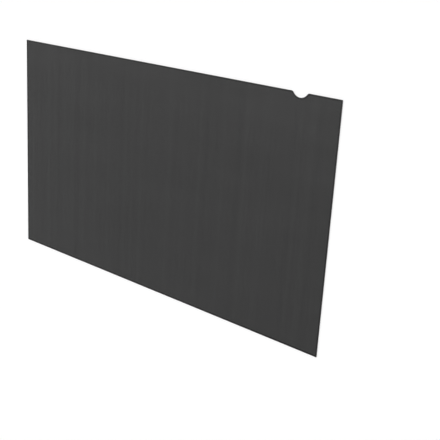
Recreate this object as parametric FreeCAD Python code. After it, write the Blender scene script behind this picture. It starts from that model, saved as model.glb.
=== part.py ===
import FreeCAD, Part
import math
import os

# Privacy filter of the 27-inch 16:9 size: one stiff laminated sheet of louvre film between two clear
# cover films, cut out in a single pass, with a finger notch in its top edge for lifting it away.
# The sheet lies on its back face. +X runs along the width to the viewer's right, +Y up the sheet to
# the notched edge, and +Z out of the front face. The origin is the middle of the back face.
# All lengths are in millimetres and all angles in degrees, counted from +X towards +Y.

# The cut sheet
sheet_width = 597.0
sheet_height = 336.0
sheet_thickness = 0.5
corner_radius = 1.0

# The finger notch: a round scoop that runs out into the top edge over two rounded shoulders
notch_from_right_edge = 61.5
notch_depth = 7.0
scoop_radius = 13.0
shoulder_radius = 3.5

# Places that follow from the sizes
right_edge = sheet_width / 2
top_edge = sheet_height / 2
notch_middle = right_edge - notch_from_right_edge


def point_on_circle(middle, radius, angle):
    """The point of a circle at an angle."""
    turn = math.radians(angle)
    return middle + FreeCAD.Vector(radius * math.cos(turn), radius * math.sin(turn), 0)


def arc(middle, radius, start_angle, end_angle):
    """The arc of a circle from one angle, through the angle halfway, to the other."""
    angles = (start_angle, (start_angle + end_angle) / 2, end_angle)
    return Part.Arc(*[point_on_circle(middle, radius, angle) for angle in angles]).toShape()


def corner(x_side, y_side):
    """The rounded corner of the sheet on the sides of the middle that the two signs name."""
    x = x_side * (right_edge - corner_radius)
    y = y_side * (top_edge - corner_radius)
    outward = math.degrees(math.atan2(y_side, x_side))
    return arc(FreeCAD.Vector(x, y, 0), corner_radius, outward - 45, outward + 45)


def notch():
    """The right shoulder, the scoop and the left shoulder, each tangent to what it meets."""
    scoop_middle = FreeCAD.Vector(notch_middle, top_edge - notch_depth + scoop_radius, 0)
    shoulder_y = top_edge - shoulder_radius
    drop = scoop_middle.y - shoulder_y
    reach = math.sqrt((scoop_radius + shoulder_radius) ** 2 - drop**2)
    slope = math.degrees(math.atan2(drop, reach))
    right_shoulder_middle = FreeCAD.Vector(notch_middle + reach, shoulder_y, 0)
    left_shoulder_middle = FreeCAD.Vector(notch_middle - reach, shoulder_y, 0)
    return [
        arc(right_shoulder_middle, shoulder_radius, 90, 180 - slope),
        arc(scoop_middle, scoop_radius, -slope, slope - 180),
        arc(left_shoulder_middle, shoulder_radius, slope, 90),
    ]


def straight_edge(last_arc, next_arc):
    """The straight cut from the end of one arc to the start of the next."""
    start = last_arc.valueAt(last_arc.LastParameter)
    end = next_arc.valueAt(next_arc.FirstParameter)
    return Part.LineSegment(start, end).toShape()


def outline():
    """The closed line of the cut: its round stretches in order, with a straight edge after each."""
    rounds = [[corner(-1, -1)], [corner(1, -1)], [corner(1, 1)], notch(), [corner(-1, 1)]]
    edges = []
    for arcs, next_arcs in zip(rounds, rounds[1:] + rounds[:1]):
        edges += arcs
        edges.append(straight_edge(arcs[-1], next_arcs[0]))
    return Part.Wire(edges)


def filter_sheet():
    """The whole sheet, cut square through its thickness."""
    return Part.Face(outline()).extrude(FreeCAD.Vector(0, 0, sheet_thickness))


os.makedirs("parts", exist_ok=True)
sheet = filter_sheet()
sheet.exportStep("parts/filter_sheet.step")
print("filter_sheet: valid", sheet.isValid(), "solids", len(sheet.Solids), "faces", len(sheet.Faces))
print("volume in cubic millimetres:", round(sheet.Volume, 1))
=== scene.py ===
# %% [markdown]
# # A privacy filter
# The real object is one stiff plastic sheet, about half a millimetre thick. Inside it, black louvres
# finer than a hair stand on edge, so light passes straight through and is stopped at a slant. Seen from
# the side it is a smoke-grey pane. It lies flat on a pale table, because nothing holds it up.
#
# The imported solid comes first: its place and size are the frame that everything else keeps to. Its box
# is noted before anything is added.

# %% Load the solid and note its box
import bmesh
import bpy
import math
from mathutils import Matrix, Vector
from mathutils.geometry import delaunay_2d_cdt


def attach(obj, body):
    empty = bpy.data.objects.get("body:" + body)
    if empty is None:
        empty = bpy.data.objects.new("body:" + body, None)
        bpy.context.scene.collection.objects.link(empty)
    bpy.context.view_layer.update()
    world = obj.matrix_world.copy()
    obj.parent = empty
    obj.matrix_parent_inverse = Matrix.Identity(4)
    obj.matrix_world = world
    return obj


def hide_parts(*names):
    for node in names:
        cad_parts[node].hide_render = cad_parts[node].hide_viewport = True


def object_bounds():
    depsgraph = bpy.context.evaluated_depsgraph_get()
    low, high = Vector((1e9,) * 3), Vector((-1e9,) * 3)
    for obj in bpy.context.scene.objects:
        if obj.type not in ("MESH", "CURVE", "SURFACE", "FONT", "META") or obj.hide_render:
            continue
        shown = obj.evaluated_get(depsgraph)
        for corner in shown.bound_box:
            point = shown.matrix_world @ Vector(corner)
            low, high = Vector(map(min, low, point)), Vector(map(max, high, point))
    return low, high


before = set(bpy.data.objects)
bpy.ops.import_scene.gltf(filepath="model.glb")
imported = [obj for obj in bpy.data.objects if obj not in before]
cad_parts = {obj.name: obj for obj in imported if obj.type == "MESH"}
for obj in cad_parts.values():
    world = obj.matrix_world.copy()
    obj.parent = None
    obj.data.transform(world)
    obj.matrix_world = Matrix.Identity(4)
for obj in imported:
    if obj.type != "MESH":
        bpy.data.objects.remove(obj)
solid_low, solid_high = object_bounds()
print("solid:", sorted(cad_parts), "size in mm:", [round(1000 * s, 2) for s in solid_high - solid_low])

# %% [markdown]
# ## The line of the cut
# A die cuts the whole outline in one stroke: four nearly sharp corners, and a finger notch in the top
# edge, where a round scoop runs out into the edge over two rounded shoulders. A mesh could borrow the
# solid's own points, but those are a few flat facets. Here each arc has its own middle and radius, and
# a point for every few degrees that it turns, so the notch stays round in a close view. A small arc
# looks round with fewer points than a large one.
#
# The line can also be drawn in by an inset, which the rim and the rounded edges need later. Its arcs
# then keep their middles: corners and shoulders shrink by the inset, and the scoop grows by it.

# %% Sizes of the outline, in metres
half_width = solid_high.x
half_height = solid_high.y
corner_radius = 0.001
notch_from_right_edge = 0.0615
notch_depth = 0.007
scoop_radius = 0.013
shoulder_radius = 0.0035

notch_middle = half_width - notch_from_right_edge
scoop_y = half_height - notch_depth + scoop_radius
shoulder_y = half_height - shoulder_radius
notch_reach = math.sqrt((scoop_radius + shoulder_radius) ** 2 - (scoop_y - shoulder_y) ** 2)
notch_slope = math.degrees(math.atan2(scoop_y - shoulder_y, notch_reach))
print("notch mouth in mm:", round(2000 * notch_reach, 2))

# %% Arcs and straight stretches
straight_step = 0.012


def arc(x, y, radius, start, end, turn):
    """Points of an arc about a middle, from a start to an end, one for each turn. Angles in degrees."""
    steps = round(abs(end - start) / turn)
    angles = [math.radians(start + (end - start) * i / steps) for i in range(steps + 1)]
    return [(x + radius * math.cos(angle), y + radius * math.sin(angle)) for angle in angles]


def straight(start, end):
    """Points on the way from a start to an end, with both left out."""
    steps = round(math.dist(start, end) / straight_step)
    return [tuple(Vector(start).lerp(end, i / steps)) for i in range(1, steps)]


print("points across the sheet:", len(straight((-half_width, 0.0), (half_width, 0.0))))

# %% Corners, notch and the whole line
corner_turn = 10.0
shoulder_turn = 7.0
scoop_turn = 3.5


def corner(x_side, y_side, inset):
    """The corner that two signs name: an arc, and sharp once it is drawn in by its radius."""
    drawn_in = max(corner_radius, inset)
    x, y = x_side * (half_width - drawn_in), y_side * (half_height - drawn_in)
    outward = math.degrees(math.atan2(y_side, x_side))
    return arc(x, y, drawn_in - inset, outward - 45, outward + 45, corner_turn)


def notch(inset, coarser):
    """The right shoulder, the scoop and the left shoulder, each tangent to what it meets."""
    right_x, left_x = notch_middle + notch_reach, notch_middle - notch_reach
    radius, turn = shoulder_radius - inset, shoulder_turn * coarser
    right = arc(right_x, shoulder_y, radius, 90, 180 - notch_slope, turn)
    left = arc(left_x, shoulder_y, radius, notch_slope, 90, turn)
    radius, turn = scoop_radius + inset, scoop_turn * coarser
    scoop = arc(notch_middle, scoop_y, radius, -notch_slope, notch_slope - 180, turn)
    return right + scoop[1:-1] + left


def cut_line(inset, coarser=1):
    """The closed line of the cut, drawn in by an inset, with the sheet on its left."""
    bends = [corner(-1, -1, inset), corner(1, -1, inset), corner(1, 1, inset)]
    bends += [notch(inset, coarser), corner(-1, 1, inset)]
    line = []
    for bend, next_bend in zip(bends, bends[1:] + bends[:1]):
        line += bend + straight(bend[-1], next_bend[0])
    return list(dict.fromkeys(line))


print("points on the line of the cut:", len(cut_line(0.0)))

# %% [markdown]
# ## Points of a face
# A flat face could be one polygon with hundreds of corners, but that falls into long slivers once it is
# cut into triangles. So the face gets points of its own. A second line runs a rim's width inside the
# cut, so that a finish can follow the rim without spilling into the sheet. The rest is a square lattice
# that is halved near the notch, and halved again close to it, where the points of the line crowd. Each
# corner's middle is a point too, for its arc to fan out from.

# %% Lattice inside the rim
rim_width = 0.0026
halved_reach = 0.024
quartered_reach = 0.010


def from_scoop(x, y):
    """How far a place is from the round of the scoop."""
    return math.hypot(x - notch_middle, y - scoop_y) - scoop_radius


def from_cut(x, y):
    """How far a place on the sheet is from the cut, as if its corners and shoulders were sharp."""
    return min(half_width - abs(x), half_height - abs(y), from_scoop(x, y))


def lattice(step, reach):
    """Places of a square lattice that are clear of the rim and within reach of the scoop."""
    across, up = int(half_width / step), int(half_height / step)
    places = [(i * step, j * step) for i in range(-across, across + 1) for j in range(-up, up + 1)]
    clear = rim_width + step / 2
    return [place for place in places if from_cut(*place) > clear and from_scoop(*place) < reach]


inside = lattice(straight_step, math.inf)
inside += lattice(straight_step / 2, halved_reach)
inside += lattice(straight_step / 4, quartered_reach)
inside += [corner(x, y, corner_radius)[0] for x in (-1, 1) for y in (-1, 1)]
print("places inside the cut:", len(inside))

# %% [markdown]
# ## The sheet
# Blender's geometry module can fill such points with the best-shaped triangles that keep to given lines.
# Front and back share one fill, with the back one turned over.
#
# A die leaves an edge that is square but not razor sharp, so both rims are rounded by a few hundredths of
# a millimetre: too small to see as a shape, but enough to catch a thin line of light. The bevel tool
# could do this afterwards, if it were told which edges to take. Here the line can be drawn in, so the
# faces just stop short of the cut by the rounding, and lines with smaller and smaller insets lead round
# each rim and down the wall. The fill keeps its points in the order they came in, so the first ones on
# each face are those of its outer line, and the wall joins on there.

# %% Fill
rim_rounding = 0.00006
merge_distance = 0.000001
INSIDE_THE_LINES = 1

outer_line = cut_line(rim_rounding)
rim_line = cut_line(rim_width, coarser=3)


def closed(first, count):
    """Pairs of neighbours in a row of points, with the last joined to the first."""
    return [(first + k, first + (k + 1) % count) for k in range(count)]


points = [Vector(place) for place in outer_line + rim_line + inside]
lines = closed(0, len(outer_line)) + closed(len(outer_line), len(rim_line))
filled = delaunay_2d_cdt(points, lines, [], INSIDE_THE_LINES, merge_distance)
places, triangles = filled[0], filled[2]
print("triangles of a face:", len(triangles))

# %% Front and back
FRONT_SLOT, BACK_SLOT, EDGE_SLOT = range(3)
sheet = bmesh.new()


def add_face(corners, slot):
    face = sheet.faces.new(corners)
    face.material_index = slot
    return face


def add_points(line, z):
    return [sheet.verts.new((x, y, z)) for x, y in line]


front, back = add_points(places, solid_high.z), add_points(places, solid_low.z)
for a, b, c in triangles:
    add_face((front[a], front[b], front[c]), FRONT_SLOT)
    add_face((back[c], back[b], back[a]), BACK_SLOT)
print("faces of front and back:", len(sheet.faces))

# %% Rounded rims and wall
rounding_steps = 2

back_rim, front_rim = [], []
for step in range(1, rounding_steps + 1):
    angle = math.radians(90) * step / rounding_steps
    line = cut_line(rim_rounding * (1 - math.sin(angle)))
    depth = rim_rounding * (1 - math.cos(angle))
    back_rim.append(add_points(line, solid_low.z + depth))
    front_rim.append(add_points(line, solid_high.z - depth))
back_line, front_line = back[:len(outer_line)], front[:len(outer_line)]
wall_lines = [back_line, *back_rim, *reversed(front_rim), front_line]
for lower, upper in zip(wall_lines, wall_lines[1:]):
    for k in range(len(lower)):
        add_face((lower[k - 1], lower[k], upper[k], upper[k - 1]), EDGE_SLOT).smooth = True
open_edges = [edge for edge in sheet.edges if len(edge.link_faces) != 2]
print("faces with the wall:", len(sheet.faces), "open edges:", len(open_edges))
print("volume in cubic mm:", round(1e9 * sheet.calc_volume(), 1))

# %% [markdown]
# The mesh becomes an object that rides on the solid's body and stands in for the solid. The large faces
# are shaded flat and the narrow wall smooth, so that the wall's small quads read as one curve. A number
# on each point says how far it is from the cut, for the finishes to read later.

# %% The finished object
sheet_mesh = bpy.data.meshes.new("privacy_sheet")
sheet.to_mesh(sheet_mesh)
sheet.free()
distance = sheet_mesh.attributes.new("distance_from_cut", "FLOAT", "POINT")
for vertex, stored in zip(sheet_mesh.vertices, distance.data):
    stored.value = max(0.0, from_cut(vertex.co.x, vertex.co.y))
privacy_sheet = bpy.data.objects.new("privacy_sheet", sheet_mesh)
bpy.context.scene.collection.objects.link(privacy_sheet)
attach(privacy_sheet, "root")
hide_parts("filter_sheet")
print("privacy_sheet:", len(sheet_mesh.vertices), "points,", len(sheet_mesh.polygons), "faces")

# %% [markdown]
# ## Helpers for the finishes
# A finish is a graph of nodes. A few short helpers keep its recipe readable: one adds a node and sets
# its sockets, one joins two sockets, one starts a group with named sockets, and one starts a material.

# %% Node helpers
def add(tree, kind, sockets=None, **settings):
    node = tree.nodes.new(kind)
    for name, value in settings.items():
        setattr(node, name, value)
    for name, value in (sockets or {}).items():
        node.inputs[name].default_value = value
    return node


def join(tree, source, output, target, socket):
    tree.links.new(source.outputs[output], target.inputs[socket])


def new_group(name, inputs, outputs):
    group = bpy.data.node_groups.new(name, "ShaderNodeTree")
    for label, value in inputs.items():
        socket = group.interface.new_socket(name=label, in_out="INPUT", socket_type="NodeSocketFloat")
        socket.default_value = value
    for label in outputs:
        group.interface.new_socket(name=label, in_out="OUTPUT", socket_type="NodeSocketFloat")
    return group, add(group, "NodeGroupInput"), add(group, "NodeGroupOutput")


def new_material(name):
    material = bpy.data.materials.new(name)
    material.use_nodes = True
    material.node_tree.nodes.clear()
    return material, material.node_tree, add(material.node_tree, "ShaderNodeOutputMaterial")


def grey(level):
    return (level, level, level, 1.0)


print("helpers ready")

# %% [markdown]
# ## Louvre streaks
# The louvres are about a tenth of a millimetre apart, too fine to draw. What the eye picks up are slow
# differences between them: faint upright streaks, where louvres lean a little or stand closer together.
# A wave texture would repeat, and no two streaks are alike. Noise that is squeezed across the sheet and
# drawn out along it never repeats, and its octaves run from broad bands down to hairlines. Both faces
# show the same louvres, so this is a group.

# %% Streak group
streak_width = 0.014
streak_length = 20.0
streak_octaves = 5.0
fine_share = 0.65
noise_middle = 0.5

louvre_streaks, streaks_in, streaks_out = new_group("louvre_streaks", {"Contrast": 1.0}, ["Shade"])
streak_place = add(louvre_streaks, "ShaderNodeTexCoord")
squeeze = add(louvre_streaks, "ShaderNodeMapping", {"Scale": (1 / streak_width, 1 / streak_length, 0.0)})
streaks = add(louvre_streaks, "ShaderNodeTexNoise", {"Scale": 1.0, "Detail": streak_octaves})
streaks.inputs["Roughness"].default_value = fine_share
centred = add(louvre_streaks, "ShaderNodeMath", operation="SUBTRACT")
centred.inputs[1].default_value = noise_middle
contrast = add(louvre_streaks, "ShaderNodeMath", operation="MULTIPLY_ADD", use_clamp=True)
contrast.inputs[2].default_value = noise_middle
join(louvre_streaks, streak_place, "Object", squeeze, "Vector")
join(louvre_streaks, squeeze, "Vector", streaks, "Vector")
join(louvre_streaks, streaks, "Fac", centred, 0)
join(louvre_streaks, centred, "Value", contrast, 0)
join(louvre_streaks, streaks_in, "Contrast", contrast, 1)
join(louvre_streaks, contrast, "Value", streaks_out, "Shade")
print("group:", louvre_streaks.name, "with bands of", 1000 * streak_width, "mm")

# %% [markdown]
# ## Cover film
# The clear cover films are never quite flat. Laminating rollers leave a slow ripple, and the hard coat
# has a fine tooth. The ripple bends reflections a little, the tooth blurs them, and light that comes up
# through the tooth sparkles very finely. As real relief the tooth would need millions of faces, and the
# ripple is too shallow to see as a shape, so both are a height for a bump. Both faces use the group, the
# front with more tooth, as it is the anti-glare side.

# %% Cover film group
ripple_width = 0.040
ripple_length = 0.140
ripple_octaves = 1.0
tooth_size = 0.0005
tooth_octaves = 2.0

cover_film, film_in, film_out = new_group("cover_film", {"Tooth": 0.1}, ["Height", "Ripple", "Sparkle"])
film_place = add(cover_film, "ShaderNodeTexCoord")
stretch = add(cover_film, "ShaderNodeMapping", {"Scale": (1 / ripple_length, 1 / ripple_width, 0.0)})
ripple = add(cover_film, "ShaderNodeTexNoise", {"Scale": 1.0, "Detail": ripple_octaves})
tooth_noise = add(cover_film, "ShaderNodeTexNoise", {"Scale": 1 / tooth_size, "Detail": tooth_octaves})
sparkle = add(cover_film, "ShaderNodeMath", operation="SUBTRACT")
sparkle.inputs[1].default_value = noise_middle
relief = add(cover_film, "ShaderNodeMath", operation="MULTIPLY_ADD")
join(cover_film, film_place, "Object", stretch, "Vector")
join(cover_film, stretch, "Vector", ripple, "Vector")
join(cover_film, film_place, "Object", tooth_noise, "Vector")
join(cover_film, tooth_noise, "Fac", sparkle, 0)
join(cover_film, sparkle, "Value", relief, 0)
join(cover_film, film_in, "Tooth", relief, 1)
join(cover_film, ripple, "Fac", relief, 2)
join(cover_film, relief, "Value", film_out, "Height")
join(cover_film, ripple, "Fac", film_out, "Ripple")
join(cover_film, sparkle, "Value", film_out, "Sparkle")
print("group:", cover_film.name, "with ripples of", 1000 * ripple_width, "mm")

# %% [markdown]
# ## Rim
# The photograph shows a thin dark line all round the sheet, as if the ends of the cut louvres caught the
# light there. The points of the mesh know how far they are from the cut, and this group turns that into
# a mask: 1 along the cut, then less and less, and 0 from a rim's width inwards.

# %% Rim group
full_rim = 0.0011

dark_rim, rim_in, rim_out = new_group("dark_rim", {"Width": rim_width}, ["Rim"])
cut_distance = add(dark_rim, "ShaderNodeAttribute", attribute_name="distance_from_cut")
rim_mask = add(dark_rim, "ShaderNodeMapRange", {"From Min": full_rim, "To Min": 1.0, "To Max": 0.0})
rim_mask.interpolation_type = "SMOOTHSTEP"
join(dark_rim, cut_distance, "Fac", rim_mask, "Value")
join(dark_rim, rim_in, "Width", rim_mask, "From Max")
join(dark_rim, rim_mask, "Result", rim_out, "Rim")
print("group:", dark_rim.name, "of", 1000 * rim_width, "mm")

# %% [markdown]
# ## Smoke grey that can be seen through
# Glass with a dark core would be the textbook way, but on a sheet this thin the bending of light shows
# nothing and costs many rays. So each face simply stops a share of the light, its alpha, and the two
# together let about an eighth through. Streaks and sparkle shift that share a little, and the rim lets
# hardly anything pass. What each face returns itself is nearly black.

# %% Louvre colour and alpha
louvre_dark = 0.006
louvre_pale = 0.012
alpha_dense = 0.74
alpha_open = 0.56
alpha_rim = 0.96
sparkle_share = 1.0


def add_louvres(tree, film, cover, streak_contrast):
    louvres = add(tree, "ShaderNodeGroup", {"Contrast": streak_contrast}, node_tree=louvre_streaks)
    colour = add(tree, "ShaderNodeMix", data_type="RGBA")
    colour.inputs["A"].default_value = grey(louvre_dark)
    colour.inputs["B"].default_value = grey(louvre_pale)
    join(tree, louvres, "Shade", colour, "Factor")
    join(tree, colour, "Result", film, "Base Color")

    sparkling = add(tree, "ShaderNodeMath", operation="MULTIPLY_ADD", use_clamp=True)
    sparkling.inputs[1].default_value = sparkle_share
    passing = add(tree, "ShaderNodeMapRange", {"To Min": alpha_dense, "To Max": alpha_open})
    rim = add(tree, "ShaderNodeGroup", {"Width": rim_width}, node_tree=dark_rim)
    alpha = add(tree, "ShaderNodeMix", data_type="FLOAT")
    alpha.inputs["B"].default_value = alpha_rim
    join(tree, cover, "Sparkle", sparkling, 0)
    join(tree, louvres, "Shade", sparkling, 2)
    join(tree, sparkling, "Value", passing, "Value")
    join(tree, rim, "Rim", alpha, "Factor")
    join(tree, passing, "Result", alpha, "A")
    join(tree, alpha, "Result", film, "Alpha")


print("two faces let through", round((1 - (alpha_dense + alpha_open) / 2) ** 2, 3))

# %% [markdown]
# ## Gloss of the faces
# Such sheets have two sides to choose from: a satin one against glare, which faces up here, and a
# smoother one, which lies on the table. Both have the index of clear plastic and differ in roughness
# and tooth. The roughness follows the ripple a little, so that reflections aren't evenly soft.

# %% Face materials
film_index = 1.5
gloss_spread = 0.06
relief_depth = 0.0007


def add_gloss(tree, film, cover, roughness):
    gloss = add(tree, "ShaderNodeMapRange")
    gloss.inputs["To Min"].default_value = roughness - gloss_spread
    gloss.inputs["To Max"].default_value = roughness + gloss_spread
    bump = add(tree, "ShaderNodeBump", {"Strength": 1.0, "Distance": relief_depth})
    join(tree, cover, "Ripple", gloss, "Value")
    join(tree, gloss, "Result", film, "Roughness")
    join(tree, cover, "Height", bump, "Height")
    join(tree, bump, "Normal", film, "Normal")


def face_material(name, roughness, tooth, streak_contrast):
    material, tree, output = new_material(name)
    film = add(tree, "ShaderNodeBsdfPrincipled", {"IOR": film_index})
    cover = add(tree, "ShaderNodeGroup", {"Tooth": tooth}, node_tree=cover_film)
    add_louvres(tree, film, cover, streak_contrast)
    add_gloss(tree, film, cover, roughness)
    join(tree, film, "BSDF", output, "Surface")
    return material


anti_glare_front = face_material("anti_glare_front", roughness=0.36, tooth=0.04, streak_contrast=0.4)
smooth_back = face_material("smooth_back", roughness=0.16, tooth=0.006, streak_contrast=0.4)
print("faces:", anti_glare_front.name, "and", smooth_back.name)

# %% [markdown]
# ## The cut edge
# The die shears through louvres and cover films and leaves a dull wall with fine upright marks. It is
# nearly black in the middle, where the louvres end, and paler along both rims, where the clear films
# end. The wall is solid to look at, so this finish has no alpha. Only one material needs the marks
# and the pale rims, so they are plain nodes and not groups.

# %% Edge material
mark_width = 0.00025
mark_height = 0.0025
mark_octaves = 2.0
mark_depth = 0.00001
smoothest_mark = 0.45
roughest_mark = 0.65

cut_edge, edge_tree, edge_output = new_material("cut_edge")
sheared = add(edge_tree, "ShaderNodeBsdfPrincipled", {"IOR": film_index})
edge_place = add(edge_tree, "ShaderNodeTexCoord")
join(edge_tree, sheared, "BSDF", edge_output, "Surface")

mark_scale = (1 / mark_width, 1 / mark_width, 1 / mark_height)
draw_out = add(edge_tree, "ShaderNodeMapping", {"Scale": mark_scale})
marks = add(edge_tree, "ShaderNodeTexNoise", {"Scale": 1.0, "Detail": mark_octaves})
edge_gloss = add(edge_tree, "ShaderNodeMapRange", {"To Min": smoothest_mark, "To Max": roughest_mark})
edge_bump = add(edge_tree, "ShaderNodeBump", {"Strength": 1.0, "Distance": mark_depth})
join(edge_tree, edge_place, "Object", draw_out, "Vector")
join(edge_tree, draw_out, "Vector", marks, "Vector")
join(edge_tree, marks, "Fac", edge_gloss, "Value")
join(edge_tree, edge_gloss, "Result", sheared, "Roughness")
join(edge_tree, marks, "Fac", edge_bump, "Height")
join(edge_tree, edge_bump, "Normal", sheared, "Normal")
print("edge material:", cut_edge.name)

# %% Pale rims of the edge
core_reach = 0.00014
film_reach = 0.00020
core_black = 0.012
film_grey = 0.090

middle_z = (solid_low.z + solid_high.z) / 2
height_on_edge = add(edge_tree, "ShaderNodeSeparateXYZ")
from_middle = add(edge_tree, "ShaderNodeMath", operation="SUBTRACT")
from_middle.inputs[1].default_value = middle_z
either_way = add(edge_tree, "ShaderNodeMath", operation="ABSOLUTE")
film_mask = add(edge_tree, "ShaderNodeMapRange", {"From Min": core_reach, "From Max": film_reach})
edge_colour = add(edge_tree, "ShaderNodeMix", data_type="RGBA")
edge_colour.inputs["A"].default_value = grey(core_black)
edge_colour.inputs["B"].default_value = grey(film_grey)
join(edge_tree, edge_place, "Object", height_on_edge, "Vector")
join(edge_tree, height_on_edge, "Z", from_middle, 0)
join(edge_tree, from_middle, "Value", either_way, 0)
join(edge_tree, either_way, "Value", film_mask, "Value")
join(edge_tree, film_mask, "Result", edge_colour, "Factor")
join(edge_tree, edge_colour, "Result", sheared, "Base Color")
for material in (anti_glare_front, smooth_back, cut_edge):
    sheet_mesh.materials.append(material)
print("finishes on the sheet:", [material.name for material in sheet_mesh.materials])

# %% [markdown]
# ## The table
# The table is a wide pale disc a hair below the sheet, so that the two surfaces don't coincide. A plane
# would do, but the rim of a wide disc is equally far on all sides and meets the room unseen.

# %% Table
air_gap = 0.0003
table_radius = 30.0
table_sides = 96

table_disc = bmesh.new()
bmesh.ops.create_circle(table_disc, cap_ends=True, radius=table_radius, segments=table_sides)
table_mesh = bpy.data.meshes.new("table")
table_disc.to_mesh(table_mesh)
table_disc.free()
table = bpy.data.objects.new("table", table_mesh)
table.location.z = solid_low.z - air_gap
bpy.context.scene.collection.objects.link(table)
print("table of", table_radius, "m,", 1000 * air_gap, "mm below the sheet")

# %% [markdown]
# Matt white paint returns about nine tenths of the light. The rest of the way to paper white is added
# only for rays that look at the table, straight or by way of gloss or glass. So no extra light falls on
# the sheet, and its thin shadow stays.

# %% Table paint
paint_level = 0.88
paper_white_lift = 0.13

white_paint, paint_tree, paint_output = new_material("white_paint")
path = add(paint_tree, "ShaderNodeLightPath")
camera_or_gloss = add(paint_tree, "ShaderNodeMath", operation="MAXIMUM")
looked_at = add(paint_tree, "ShaderNodeMath", operation="MAXIMUM")
lift = add(paint_tree, "ShaderNodeMath", operation="MULTIPLY")
lift.inputs[1].default_value = paper_white_lift
glow = add(paint_tree, "ShaderNodeEmission", {"Color": grey(1.0)})
paint = add(paint_tree, "ShaderNodeBsdfDiffuse", {"Color": grey(paint_level)})
painted = add(paint_tree, "ShaderNodeAddShader")
join(paint_tree, path, "Is Camera Ray", camera_or_gloss, 0)
join(paint_tree, path, "Is Glossy Ray", camera_or_gloss, 1)
join(paint_tree, camera_or_gloss, "Value", looked_at, 0)
join(paint_tree, path, "Is Transmission Ray", looked_at, 1)
join(paint_tree, looked_at, "Value", lift, 0)
join(paint_tree, lift, "Value", glow, "Strength")
join(paint_tree, paint, "BSDF", painted, 0)
join(paint_tree, glow, "Emission", painted, 1)
join(paint_tree, painted, "Shader", paint_output, "Surface")
table_mesh.materials.append(white_paint)
print("paint", paint_level, "and lift", paper_white_lift)

# %% [markdown]
# ## Room and lamp
# A satin sheet shows mostly what it mirrors, so the room needs a slow change of tone. This one is white
# at the horizon, where the table meets it unseen, and dims towards the ceiling. A wide soft lamp from
# the upper left adds the rest. The two together light the table at about 1, the level at which a
# colour renders as it is written. The lamp is a sun with a wide disc, so it lights the table evenly.

# %% Room
horizon_light = 1.0
ceiling_light = 0.20
wall_foot = 0.15
wall_top = 0.65

room = bpy.data.worlds.new("white_room")
bpy.context.scene.world = room
room.use_nodes = True
room_tree = room.node_tree
room_tree.nodes.clear()
direction = add(room_tree, "ShaderNodeTexCoord")
height = add(room_tree, "ShaderNodeSeparateXYZ")
tone = add(room_tree, "ShaderNodeMapRange", interpolation_type="SMOOTHSTEP")
tone.inputs["From Min"].default_value = wall_foot
tone.inputs["From Max"].default_value = wall_top
tone.inputs["To Min"].default_value = horizon_light
tone.inputs["To Max"].default_value = ceiling_light
background = add(room_tree, "ShaderNodeBackground", {"Color": grey(1.0)})
room_output = add(room_tree, "ShaderNodeOutputWorld")
join(room_tree, direction, "Generated", height, "Vector")
join(room_tree, height, "Z", tone, "Value")
join(room_tree, tone, "Result", background, "Strength")
join(room_tree, background, "Background", room_output, "Surface")
print("room light from", horizon_light, "down to", ceiling_light)

# %% Lamp
lamp_direction = Vector((-0.5, 0.6, 1.0))
lamp_strength = 2.65
lamp_disc = math.radians(60)

lamp_light = bpy.data.lights.new("soft_lamp", "SUN")
lamp_light.energy = lamp_strength
lamp_light.angle = lamp_disc
lamp = bpy.data.objects.new("soft_lamp", lamp_light)
lamp.rotation_mode = "QUATERNION"
lamp.rotation_quaternion = lamp_direction.to_track_quat("Z", "Y")
bpy.context.scene.collection.objects.link(lamp)
print("lamp from", [round(c, 2) for c in lamp_direction.normalized()])

# %% [markdown]
# ## Camera
# The photograph looks at the front of the sheet from its right and a little from above. The sheet lies
# down here, so the camera keeps its place relative to the sheet and looks down on it. The directions
# in which the four straight edges run together gave its place, its aim and its long lens. "Up" in the
# picture is up the sheet, with a small roll.

# %% Camera
camera_place = Vector((0.8484, 0.3423, 0.8786))
camera_aim = Vector((0.1224, -0.0259, 0.0))
camera_roll = math.radians(3.61)
camera_lens = 71.68
up_the_sheet = Vector((0.0, 1.0, 0.0))

forward = (camera_aim - camera_place).normalized()
right = forward.cross(up_the_sheet).normalized()
level = Matrix((right, right.cross(forward), -forward)).transposed()
turned = Matrix.Rotation(-camera_roll, 3, forward) @ level
camera_data = bpy.data.cameras.new("camera")
camera_data.lens = camera_lens
camera = bpy.data.objects.new("camera", camera_data)
camera.matrix_world = Matrix.Translation(camera_place) @ turned.to_4x4()
bpy.context.scene.collection.objects.link(camera)
bpy.context.scene.camera = camera
bpy.context.scene.view_settings.view_transform = "Standard"
print("camera", round((camera_aim - camera_place).length, 3), "m from its aim")
